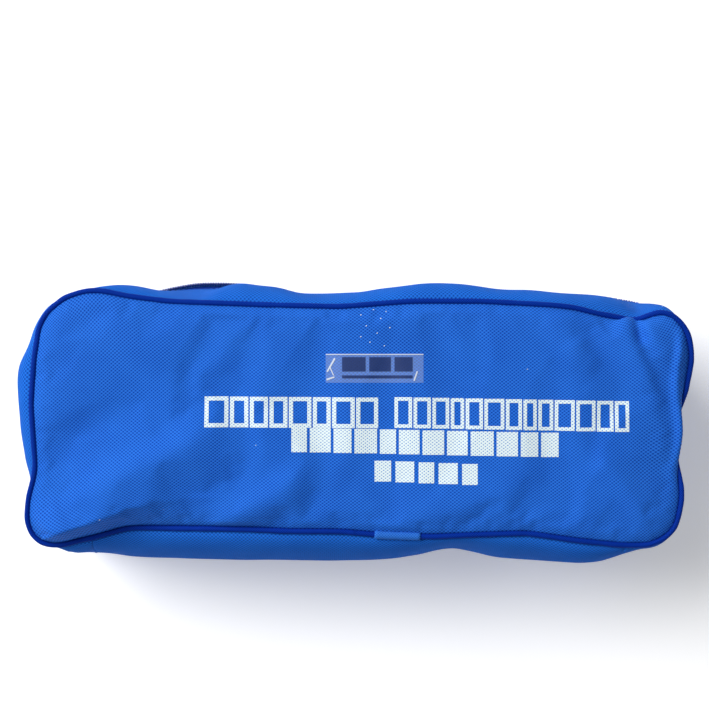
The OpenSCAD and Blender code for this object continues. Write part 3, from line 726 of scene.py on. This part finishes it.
# On the hinge side one wall goes from rim to rim. Its widest line is 29% of the way down.
hinge_push = overshoot(0.71 * lid_top + 0.29 * base_foot) / bump_shape(0.29, 0.5)
hinge_wall = wall(
    lid_top, base_foot, HINGE_ROWS, hinge_push, 0.5, 1.25,
    lambda t: 0.7 * bump_shape(t, 1.0) * (wave(ALONG + 20 * t, 31, 120) + 0.2 * wave(ALONG, 32, 40)))
# What lies beyond EASE_Y is pressed into ROOM, so that the open case's two halves don't meet.
EASE_Y, ROOM = -78.0, 2.4
beyond = np.maximum(EASE_Y - hinge_wall[:, :, 1], 0)
hinge_wall[:, :, 1] += beyond - ROOM * (1 - np.exp(-beyond / ROOM))


def hinge_wall_at(heights):
    """The hinge wall's points at other heights, given row by row."""
    found = np.empty((*heights.shape, 3))
    for i in range(N):
        for k in range(3):
            found[:, i, k] = np.interp(-heights[:, i], -hinge_wall[:, i, 2], hinge_wall[:, i, k])
    return found


# Near the hinge the zip side's walls run into the hinge wall.
hinge_side = (CORE[:, 1] < 0) & (OUT[:, 1] < -0.99)
likeness = np.where(hinge_side, (HINGE_X + RUN_IN - np.abs(CORE[:, 0])) / RUN_IN, 0.0)
likeness = eased(likeness)[None, :, None]
lid_wall = lid_wall * (1 - likeness) + hinge_wall_at(lid_wall[:, :, 2]) * likeness
base_wall = base_wall * (1 - likeness) + hinge_wall_at(base_wall[:, :, 2]) * likeness

in_hinge = hinge_side & (np.abs(CORE[:, 0]) <= HINGE_X + 0.1)
hinge_last = int(np.where(in_hinge & ~np.roll(in_hinge, -1))[0][0])
hinge_first = int(np.where(in_hinge & ~np.roll(in_hinge, 1))[0][0])
ZIP_RUN = np.array([(hinge_last + k) % N for k in range((hinge_first - hinge_last) % N + 1)])
HINGE_RUN = np.array([(hinge_first + k) % N for k in range((hinge_last - hinge_first) % N + 1)])


def gusset(name, rows):
    """A strip of shell cloth over part of a wall."""
    count = rows.shape[1]
    down = run_of(rows[:, count // 2])
    along = run_of(rows[len(rows) // 2])
    uv = np.stack(np.meshgrid(along, down), -1).reshape(-1, 2)
    made = make_mesh(name, rows.reshape(-1, 3), grid_faces(len(rows), count, flip=True), uv, GUSSET)
    thicken(made, GUSSET_THICK, LINING)
    return made


def turned_in(rows):
    """Rows of points with a hem turned in at both ends, deepest halfway down."""
    reach = HEM_TURNED_IN * bump_shape(np.linspace(0, 1, len(rows)), 0.5)[:, None]
    left, right = ([rows[:, end] + reach * (0, part, 0) for part in (1, 0.15)] for end in (0, -1))
    return np.concatenate([np.stack(left, 1), rows, np.stack(right[::-1], 1)], axis=1)


lid_gusset = gusset("lid_gusset_cloth", lid_wall[:, ZIP_RUN])
settle_on(lid_gusset, "lid", "shell_fabric", "zip_gusset_lid")
base_gusset = gusset("base_gusset_cloth", base_wall[:, ZIP_RUN])
settle_on(base_gusset, "base", "shell_fabric", "zip_gusset_base")
hinge_gusset = gusset("hinge_gusset_cloth", turned_in(hinge_wall[:, HINGE_RUN]))
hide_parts("hinge_gusset_lower", "hinge_gusset_upper")
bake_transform(hinge_gusset)


# ---------------- stitches


def stitches(name, line, body):
    """A run of thread: a small rounded bar for each stitch, standing just proud of the cloth."""
    run = run_of(line)
    ways_out = np.column_stack([OUT[ZIP_RUN], np.zeros(len(ZIP_RUN))])
    verts, faces = [], []
    sides = 6

    def at(values, distance):
        return np.array([np.interp(distance, run, values[:, k]) for k in range(3)])

    for start in np.arange(1.0, run[-1] - STITCH_PITCH, STITCH_PITCH):
        ends = [at(line, start), at(line, start + 0.62 * STITCH_PITCH)]
        away = at(ways_out, start)
        way = (ends[1] - ends[0]) / np.linalg.norm(ends[1] - ends[0])
        side = np.cross(way, away)
        first = len(verts)
        for t, size in ((0, 0.3), (0.15, 1), (0.85, 1), (1, 0.3)):
            centre = ends[0] * (1 - t) + ends[1] * t + away * (0.22 if 0.1 < t < 0.9 else -0.1)
            for k in range(sides):
                angle = 2 * math.pi * k / sides
                verts.append(centre + size * (0.24 * math.sin(angle) * away + 0.3 * math.cos(angle) * side))
        faces += barrel_faces(first, 4, sides, capped=False)
    settle_on(make_mesh(name, verts, faces, None, THREAD), body, "shell_fabric")


stitches("lid_hem_stitches", lid_wall[-3][ZIP_RUN], "lid")
stitches("base_hem_stitches", base_wall[2][ZIP_RUN], "base")


# ---------------- piping, its join, and bindings

girth = 1 + 0.05 * wave(ALONG, 41, 20) * OFF_START
piping_section = round_section(2 * PIPING_R, 2 * PIPING_R)
front_piping = sweep("front_piping_cord", FRONT, piping_section, True, TRIM, grow=girth)
settle_on(front_piping, "lid", "trim_fabric", "front_piping")
back_piping = sweep("back_piping_cord", BACK, piping_section, True, TRIM, grow=girth)
settle_on(back_piping, "base", "trim_fabric", "back_piping")

joined = np.where((FRONT[:, 0] > 9) & (FRONT[:, 0] < 37) & (FRONT[:, 1] < 0))[0]
join = sweep("piping_join_patch", FRONT[joined] + [0, 0, 0.1], round_section(4.6, 4.2), False, PATCH,
             grow=1 + 0.06 * wave(ALONG[joined], 43, 7))
settle_on(join, "lid", "trim_fabric", "piping_join_cover")


def binding(name, line, ways_out, lean, body, node):
    """Folded tape over the raw edges, hanging inside the seam."""
    centre = line + np.column_stack([-3.4 * ways_out, np.full(N, lean)])
    tape = sweep(name, centre, round_section(1.9, 7.6, 10), True, TAPE, twist=0.12 * wave(ALONG, 47, 60))
    settle_on(tape, body, "trim_fabric", node)


binding("front_binding_tape", FRONT, FRONT_OUT, -5.6, "lid", "front_seam_binding")
binding("back_binding_tape", BACK, BACK_OUT, 5.4, "base", "back_seam_binding")

# ---------------- print and sticker


def on_front(x, y, lift):
    """A point on the front panel under plan place x, y, raised by lift, and its flat-pattern place."""
    hit, _, index, _ = FRONT_TREE.ray_cast(Vector((x, y, 200)), Vector((0, 0, -1)))
    corners = TRIS[index]
    where = [Vector(front_points[c]) for c in corners]
    normal = Vector(front_normals[corners].mean(0)).normalized()
    flat = barycentric_transform(hit, *where, *[Vector((*FLAT[c], 0)) for c in corners])
    return tuple(hit + lift * normal), (flat.x, flat.y)


def applied(name, cells, material, lift, spacing=1.1):
    """Flat shapes laid on the front panel. A cell is four corners, anticlockwise."""
    verts, faces, uv = [], [], []
    for a, b, c, d in np.array(cells, float):
        cols = max(1, math.ceil(math.dist(a, b) / spacing))
        rows = max(1, math.ceil(math.dist(a, d) / spacing))
        first = len(verts)
        for j in range(rows + 1):
            for i in range(cols + 1):
                u, v = i / cols, j / rows
                near, far = a * (1 - u) + b * u, d * (1 - u) + c * u
                point, flat = on_front(*(near * (1 - v) + far * v), lift)
                verts.append(point)
                uv.append(flat)
        faces += [tuple(first + i for i in f) for f in grid_faces(rows + 1, cols + 1)]
    return make_mesh(name, verts, faces, uv, material)


def slab(x, y, w, h, slant=0.0):
    return [(x, y), (x + w, y), (x + w + slant, y + h), (x + slant, y + h)]


def block_line(x0, x1, y0, y1, height, count, gap, frame_w, seed):
    """A line of blocks whose feet run from (x0, y0) to (x1, y1). Blocks with a frame_w are hollow."""
    widths = np.random.default_rng(seed).uniform(0.8, 1.2, count)
    widths *= (x1 - x0 - gap * (count - 1)) / widths.sum()
    cells = []
    x = x0
    for w in widths:
        y = y0 + (y1 - y0) * (x - x0) / (x1 - x0)
        if frame_w:
            cells.append(slab(x, y, w, frame_w))
            cells.append(slab(x, y + height - frame_w, w, frame_w))
            cells.append(slab(x, y + frame_w, frame_w, height - 2 * frame_w))
            cells.append(slab(x + w - frame_w, y + frame_w, frame_w, height - 2 * frame_w))
        else:
            cells.append(slab(x, y, w, height))
        x += w + gap
    return cells


blocks = block_line(-84, 12, -0.8, -1.5, 17, 8, 0.8, 2.3, 51)
blocks += block_line(21, 151, -1.2, -3.6, 17, 13, 0.8, 2.0, 52)
blocks += block_line(-36, 112, -14.6, -17.6, 13.5, 12, 1.6, 0, 53)
blocks += block_line(10, 67, -31, -33, 11.6, 5, 2.4, 0, 54)
scuffs = [
    (2, 61), (9, 64), (13, 59), (5, 55), (16, 63), (11, 51), (18, 54), (2, 49), (7, 46), (15, 44),
    (-56, -11), (94, 31), (131, -2), (-142, -52),
]
blocks += [slab(x, y, 0.6, 0.5, 0.2) for x, y in scuffs]
print_blocks = applied("front_print_ink", blocks, INK, 0.12)
settle_on(print_blocks, "lid", "print_ink", "front_print")

sticker = applied("sticker_clear_film", [slab(-17, 23.8, 54, 16)], LABEL, 0.3)
settle_on(sticker, "lid", "clear_film", "clear_sticker")
bars = applied("sticker_bars", [
    slab(-8, 30, 13, 8), slab(7, 30, 12, 8), slab(21, 30, 10, 8), slab(-8, 26.2, 39, 1.7)], LABEL_INK, 0.36)
settle_on(bars, "lid", "clear_film")
# Painted glints: pale slivers where the film's creases and its top edge would catch the key light.
glint_marks = applied("sticker_painted_glints", [
    [(-16.6, 30), (-15.8, 29.7), (-11.5, 37), (-12.3, 37.6)],
    [(-13, 28), (-12.2, 27.6), (-14.6, 33), (-15.2, 33)],
    [(-16.4, 25), (-12, 26.6), (-12.4, 27.3), (-16.6, 26)],
    [(31.4, 25), (32.2, 24.8), (34, 30), (33.2, 30.2)],
    [(-17, 39.2), (37, 39.2), (37, 39.7), (-17, 39.7)]], GLINT, 0.42, 0.9)
settle_on(glint_marks, "lid", "clear_film")

# ---------------- zip


def zip_tape(name, low, high, body, node):
    """One half of the zip's woven tape, curving in behind the gusset at its far edge."""
    corners = ((0, low), (0, (low + high) / 2), (0, high), (TAPE_THICK, high), (TAPE_THICK, low))
    rows = []
    for depth, z in corners:
        line = zip_line(TAPE_IN + depth + 3 * ((z - ZIP_Z) / TAPE_HALF) ** 2, z)
        rows.append(np.column_stack([line[ZIP_RUN], np.full(len(ZIP_RUN), z)]))
    rows = np.array(rows)
    along = run_of(rows[0])
    uv = np.stack(np.meshgrid(along, [0, (high - low) / 2, high - low, high - low + 1, 2 * (high - low)]), -1)
    count = len(ZIP_RUN)
    faces = grid_faces(5, count) + [(4 * count + i, 4 * count + i + 1, i + 1, i) for i in range(count - 1)]
    tape = make_mesh(name, rows.reshape(-1, 3), faces, uv.reshape(-1, 2), TAPE, False)
    settle_on(tape, body, "zip_tape", node)


def zip_coil(name, low, high, offset, body, node):
    """Turns of a moulded coil, each a small bar with rounded ends. offset staggers the two halves' turns."""
    path = zip_line(COIL_IN, ZIP_Z)[ZIP_RUN]
    ways = OUT[ZIP_RUN]
    lines = (path[:, 0], path[:, 1], ways[:, 0], ways[:, 1])
    run = run_of(path)
    pitch, sides = 1.5, 6
    verts, faces = [], []
    for place in np.arange(1.0 + offset, run[-1] - 1.0, pitch):
        x, y, ox, oy = (np.interp(place, run, line) for line in lines)
        first = len(verts)
        for z, size in ((low, 0.5), (low + 0.4, 1.0), (high - 0.4, 1.0), (high, 0.5)):
            for k in range(sides):
                angle = 2 * math.pi * k / sides
                along, out = 0.52 * size * math.cos(angle), 1.15 * (0.7 + 0.3 * size) * math.sin(angle)
                verts.append((x - oy * along + ox * out, y + ox * along + oy * out, z))
        faces += barrel_faces(first, 4, sides)
    settle_on(make_mesh(name, verts, faces, None, COIL), body, "zip_coil", node)


zip_tape("zip_tape_base_cloth", 47, 61.4, "base", "zip_tape_base")
zip_tape("zip_tape_lid_cloth", 62.6, 77, "lid", "zip_tape_lid")
zip_coil("zip_coil_base_turns", 58.4, 61.8, 0.0, "base", "zip_coil_base")
zip_coil("zip_coil_lid_turns", 62.2, 65.6, 0.75, "lid", "zip_coil_lid")


def rounded(x0, x1, half0, half1, corner):
    """An outline in (x, z) about z = 0: half0 and half1 are its half widths at its two ends."""
    points = []
    for cx, cz, start in ((x1 - corner, half1 - corner, 0), (x0 + corner, half0 - corner, 90),
                          (x0 + corner, corner - half0, 180), (x1 - corner, corner - half1, 270)):
        for k in range(6):
            angle = math.radians(start + 18 * k)
            points.append((cx + corner * math.cos(angle), cz + corner * math.sin(angle)))
    return points


def plates(name, layers, place, facing):
    """Flat plates with bevelled edges: the outline of each, then its two depths y. facing -1 turns the piece
    end for end."""
    verts, faces = [], []
    for *shape, y0, y1 in layers:
        outline = rounded(*shape)
        count, first = len(outline), len(verts)
        centre = np.mean(outline, axis=0)
        bevel = min(0.35, (y1 - y0) / 3)
        for y, shrink in ((y0, bevel), (y0 + bevel, 0), (y1 - bevel, 0), (y1, bevel)):
            for p in outline:
                away = np.array(p) - centre
                q = np.array(p) - away / np.linalg.norm(away) * shrink
                verts.append((facing * q[0], y, q[1]))
        faces += barrel_faces(first, 4, count, flip=facing < 0)
    return make_mesh(name, np.array(verts) + np.array(place), faces, None, ENAMEL, False)


def box_of(node):
    """The two far corners of a CAD node, in mm."""
    return [Vector(v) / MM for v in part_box(node)]


def centre_of(node):
    low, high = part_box(node)
    return (Vector(low) + Vector(high)) / 2 / MM


# Plates of a slider and its pull: x from, x to, half the width at each, corner, y from, y to.
SLIDER_PLATES = [
    (-5.5, 5.5, 3.6, 4.6, 1.6, 75.9, 77.1), (-5.5, 5.5, 3.6, 4.6, 1.6, 70.7, 71.9),
    (-5.2, -3.4, 0.9, 0.9, 0.4, 71.8, 76.0), (3.4, 5.0, 3.4, 3.4, 0.6, 77.0, 77.5),
    (-3.2, -1.6, 1.5, 1.5, 0.5, 77.0, 79.3), (1.6, 3.2, 1.5, 1.5, 0.5, 77.0, 79.3),
    (-3.2, 3.2, 1.5, 1.5, 0.6, 79.1, 80.0),
]
TAB_PLATES = [
    (-3.9, -0.9, 0.7, 0.7, 0.5, 77.9, 79.0), (-1.3, 1.3, 0.75, 0.75, 0.5, 77.7, 79.0),
    (-9, -3.2, 1.3, 1.6, 0.8, 77.75, 78.95), (-25, -8.2, 3.2, 2.2, 1.3, 77.7, 78.9),
    (-23.2, -21.9, 2.1, 2.1, 0.5, 78.8, 79.15), (-20.8, -19.5, 2.0, 2.0, 0.5, 78.8, 79.15),
    (-18.4, -17.1, 1.9, 1.9, 0.5, 78.8, 79.15), (-16, -14.7, 1.8, 1.8, 0.5, 78.8, 79.15),
]
PULL_Y = 78.4  # where a pull's bar turns
for side, facing in (("left", 1), ("right", -1)):
    at = centre_of(f"slider_{side}")
    slider = plates(f"slider_{side}_body", SLIDER_PLATES, (at.x, 0, at.z), facing)
    settle_on(slider, f"slider_{side}", "zip_metal", f"slider_{side}")
    tab = plates(f"pull_{side}_tab", TAB_PLATES, (0, 0, 0), facing)
    # The tab lies against the coil, so its free end is a little further in than its bar.
    lean = math.radians(3.6) * facing
    for vertex in tab.data.vertices:
        x, y = vertex.co.x, vertex.co.y - PULL_Y * MM
        vertex.co.x = x * math.cos(lean) - y * math.sin(lean) + at.x * MM
        vertex.co.y = x * math.sin(lean) + y * math.cos(lean) + PULL_Y * MM
        vertex.co.z += at.z * MM
    settle_on(tab, f"pull_{side}", "zip_metal", f"pull_{side}")

# ---------------- squeeze bag

BAG_LOW, BAG_HIGH = box_of("squeeze_bag")
BAG_AXIS = (BAG_LOW + BAG_HIGH) / 2
BAG_R = (BAG_HIGH.z - BAG_LOW.z) / 2
BAG_NECKS = (22.0, 17.0)  # outer radius at the reservoir's end and at the patient's end
BAG_COLLARS = (12.0, 8.0)  # length of the straight necks
BAG_THICK, FILM_THICK = 2.2, 0.35


def bag_radius(x, half):
    """Outer radius at x from the middle of the bag's round part."""
    body = BAG_R * max(0.0, 1 - (abs(x) / half) ** 2.6) ** 0.55
    return max(body, BAG_NECKS[1 if x > 0 else 0])


def squeeze_bag():
    """A moulded silicone bag: fine rings where the hand holds it, and soft dents."""
    half = (BAG_HIGH.x - BAG_LOW.x - sum(BAG_COLLARS)) / 2
    middle = BAG_LOW.x + BAG_COLLARS[0] + half
    xs = np.linspace(BAG_LOW.x + 0.2, BAG_HIGH.x - 0.2, 170) - middle
    sides = 96
    angles = 2 * math.pi * np.arange(sides) / sides
    verts = []
    for x in xs:
        outer = bag_radius(x, half) - 0.15
        grip = 0.35 * (1 + math.cos(x * 2 * math.pi / 6)) * math.exp(-(x / 34) ** 4)
        full = np.clip((outer - 24) / 20, 0, 1)
        dent = 1.6 * np.exp(-((x - 18) / 30) ** 2 - ((angles - 1.9) / 0.5) ** 2)
        dent += 1.2 * np.exp(-((x + 40) / 26) ** 2 - ((angles - 1.1) / 0.4) ** 2)
        sway = 0.5 * (1 + np.cos(2 * angles + 0.4)) * full
        radius = outer - grip * full - dent * full - sway
        verts.append(np.column_stack([np.full(sides, x + middle), BAG_AXIS.y + radius * np.cos(angles),
                                      BAG_AXIS.z + radius * np.sin(angles)]))
    faces = grid_faces(len(xs), sides, closed=True, flip=True)
    bag = make_mesh("squeeze_bag_silicone", np.concatenate(verts), faces, None, SILICONE)
    thicken(bag, BAG_THICK, SILICONE)
    settle_on(bag, "base", "bag_silicone", "squeeze_bag")


squeeze_bag()

# ---------------- rolled reservoir bag and its band

ROLL_LOW, ROLL_HIGH = box_of("reservoir_bag")
ROLL_AXIS = (ROLL_LOW + ROLL_HIGH) / 2
ROLL_R = (ROLL_HIGH.z - ROLL_LOW.z) / 2


def rolled_film():
    """A bag of thin film rolled up on itself, pinched where the band holds it and crinkled all along."""
    turns, per_turn, cols = 4.6, 40, 110
    band = centre_of("reservoir_band").x
    xs = np.linspace(0, 1, cols)
    verts = []
    for i in range(int(turns * per_turn) + 1):
        angle = 2 * math.pi * i / per_turn + 0.9
        rise = i / (turns * per_turn)
        end = 1.6 * wave(np.array([i * 1.0]), 61, 40)[0]
        x = ROLL_LOW.x + 2 + end + (ROLL_HIGH.x - ROLL_LOW.x - 4) * xs
        crinkle = 0.55 * wave(x + 9 * math.sin(angle * 1.7), 62, 26)
        crinkle += 0.4 * wave(x * 0.7 + 30 * rise * turns, 63, 11)
        radius = 3.6 + (ROLL_R - 5.2) * rise + 0.8 * (0.4 + rise) * crinkle
        radius -= (0.16 * radius) * np.exp(-((x - band) / 9) ** 2)
        verts.append(np.column_stack([x, ROLL_AXIS.y + radius * math.cos(angle),
                                      ROLL_AXIS.z + radius * math.sin(angle)]))
    film = make_mesh("reservoir_bag_film", np.concatenate(verts), grid_faces(len(verts), cols), None, FILM)
    thicken(film, FILM_THICK, FILM)
    settle_on(film, "base", "reservoir_film", "reservoir_bag")


rolled_film()

# ---------------- mask cushion

CUSHION_LOW, CUSHION_HIGH = box_of("mask_cushion")


def mask_cushion():
    """An air-filled ring of soft vinyl, fuller at its sides than at nose and chin, with a moulded seam."""
    centre = (CUSHION_LOW + CUSHION_HIGH) / 2
    tube_r = (CUSHION_HIGH.x - CUSHION_LOW.x) / 2
    reach = (CUSHION_HIGH.z - CUSHION_LOW.z) / 2 - tube_r
    straight = (CUSHION_HIGH.y - CUSHION_LOW.y) / 2 - tube_r - reach
    count, sides = 160, 28
    verts = []
    for i in range(count):
        angle = 2 * math.pi * i / count
        way = Vector((0, math.cos(angle), math.sin(angle)))
        spine = centre + way * reach + Vector((0, straight * max(-1, min(1, 3 * math.cos(angle))), 0))
        size = tube_r - 0.3 - 0.5 * (1 + math.cos(2 * angle)) * 0.5
        for k in range(sides):
            turn = 2 * math.pi * k / sides
            seam = 0.5 * math.exp(-((turn - math.pi) / 0.12) ** 2)
            radius = size - seam * 0.6 + 0.25 * math.cos(3 * turn) - 0.25
            verts.append(spine + way * radius * math.cos(turn) + Vector((radius * math.sin(turn), 0, 0)))
    faces = []
    for i in range(count):
        here, there = i * sides, (i + 1) % count * sides
        for k in range(sides):
            j = (k + 1) % sides
            faces.append((here + k, there + k, there + j, here + j))
    cushion = make_mesh("mask_cushion_vinyl", [tuple(v) for v in verts], faces, None, CUSHION)
    settle_on(cushion, "base", "cushion_vinyl", "mask_cushion")


mask_cushion()

# ---------------- relief spring

WIRE_R, TURNS, RELIEF_LIFT = 0.4, 5, 2.5  # the wire's radius, the turns, and how far the disc lifts
SPRING_LOW, SPRING_HIGH = box_of("relief_spring")
spring_long = SPRING_HIGH.z - SPRING_LOW.z
turned = np.linspace(0, TURNS, TURNS * 20 + 1)
spring_r = (SPRING_HIGH.x - SPRING_LOW.x) / 2 - WIRE_R
spring = sweep("relief_spring_wire", np.column_stack([
    (SPRING_LOW.x + SPRING_HIGH.x) / 2 + spring_r * np.cos(2 * math.pi * turned),
    (SPRING_LOW.y + SPRING_HIGH.y) / 2 + spring_r * np.sin(2 * math.pi * turned),
    SPRING_LOW.z + WIRE_R + (spring_long - 2 * WIRE_R) * turned / TURNS]),
    round_section(2 * WIRE_R, 2 * WIRE_R, 8), False, STEEL)
settle_on(spring, "base", "spring_steel", "relief_spring")
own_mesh(spring)

# ---------------- finishes of the CAD pieces that stay

FINISH_OF = {
    "shell_fabric": SHELL, "trim_fabric": LINING, "zip_tape": TAPE, "zip_coil": COIL, "zip_metal": ENAMEL,
    "stop_metal": STEEL, "print_ink": INK, "clear_film": LABEL, "bag_silicone": SILICONE,
    "valve_silicone": VALVE, "seal_rubber": RUBBER, "clear_plastic": CLEAR, "amber_plastic": AMBER,
    "cap_plastic": CAP, "spring_steel": STEEL, "reservoir_film": FILM, "band_rubber": LATEX,
    "cushion_vinyl": CUSHION,
}
for part in frame["record"]["subparts"]:
    mesh = frame["nodes"][part["node"]].data
    mesh.materials.clear()
    mesh.materials.append(FINISH_OF[part["material_slot"]])

# ---------------- floor, light and camera

paper = finish("floor_paper", (0.94, 0.94, 0.94), 0.9, grain=0.002, scale=4, Emission_Color=(1.0, 1.0, 1.0),
               Emission_Strength=0.27)
FLOOR_HALF = 3000
floor_corners = [(x * FLOOR_HALF, y * FLOOR_HALF, 0) for x, y in ((-1, -1), (1, -1), (1, 1), (-1, 1))]
floor = make_mesh("floor", floor_corners, [(0, 1, 2, 3)], None, paper, False)

world = bpy.data.worlds.new("studio")
world.use_nodes = True
world.node_tree.nodes["Background"].inputs["Color"].default_value = (0.97, 0.985, 1.0, 1)
world.node_tree.nodes["Background"].inputs["Strength"].default_value = 0.25
bpy.context.scene.world = world

light = bpy.data.lights.new("key", "AREA")
light.size = 3.0
light.energy = 272
key = bpy.data.objects.new("key", light)
key.location = (-2.7, 1.8, 3.5)
key.rotation_euler = (Vector((0, 0, 0.1)) - key.location).to_track_quat("-Z", "Y").to_euler()
bpy.context.scene.collection.objects.link(key)

camera = bpy.data.objects.new("camera", bpy.data.cameras.new("camera"))
camera.data.lens = 80.5
camera.location = (-0.0011, 0.0394, 1.0)
bpy.context.scene.collection.objects.link(camera)
bpy.context.scene.camera = camera
bpy.context.scene.view_settings.view_transform = "Standard"
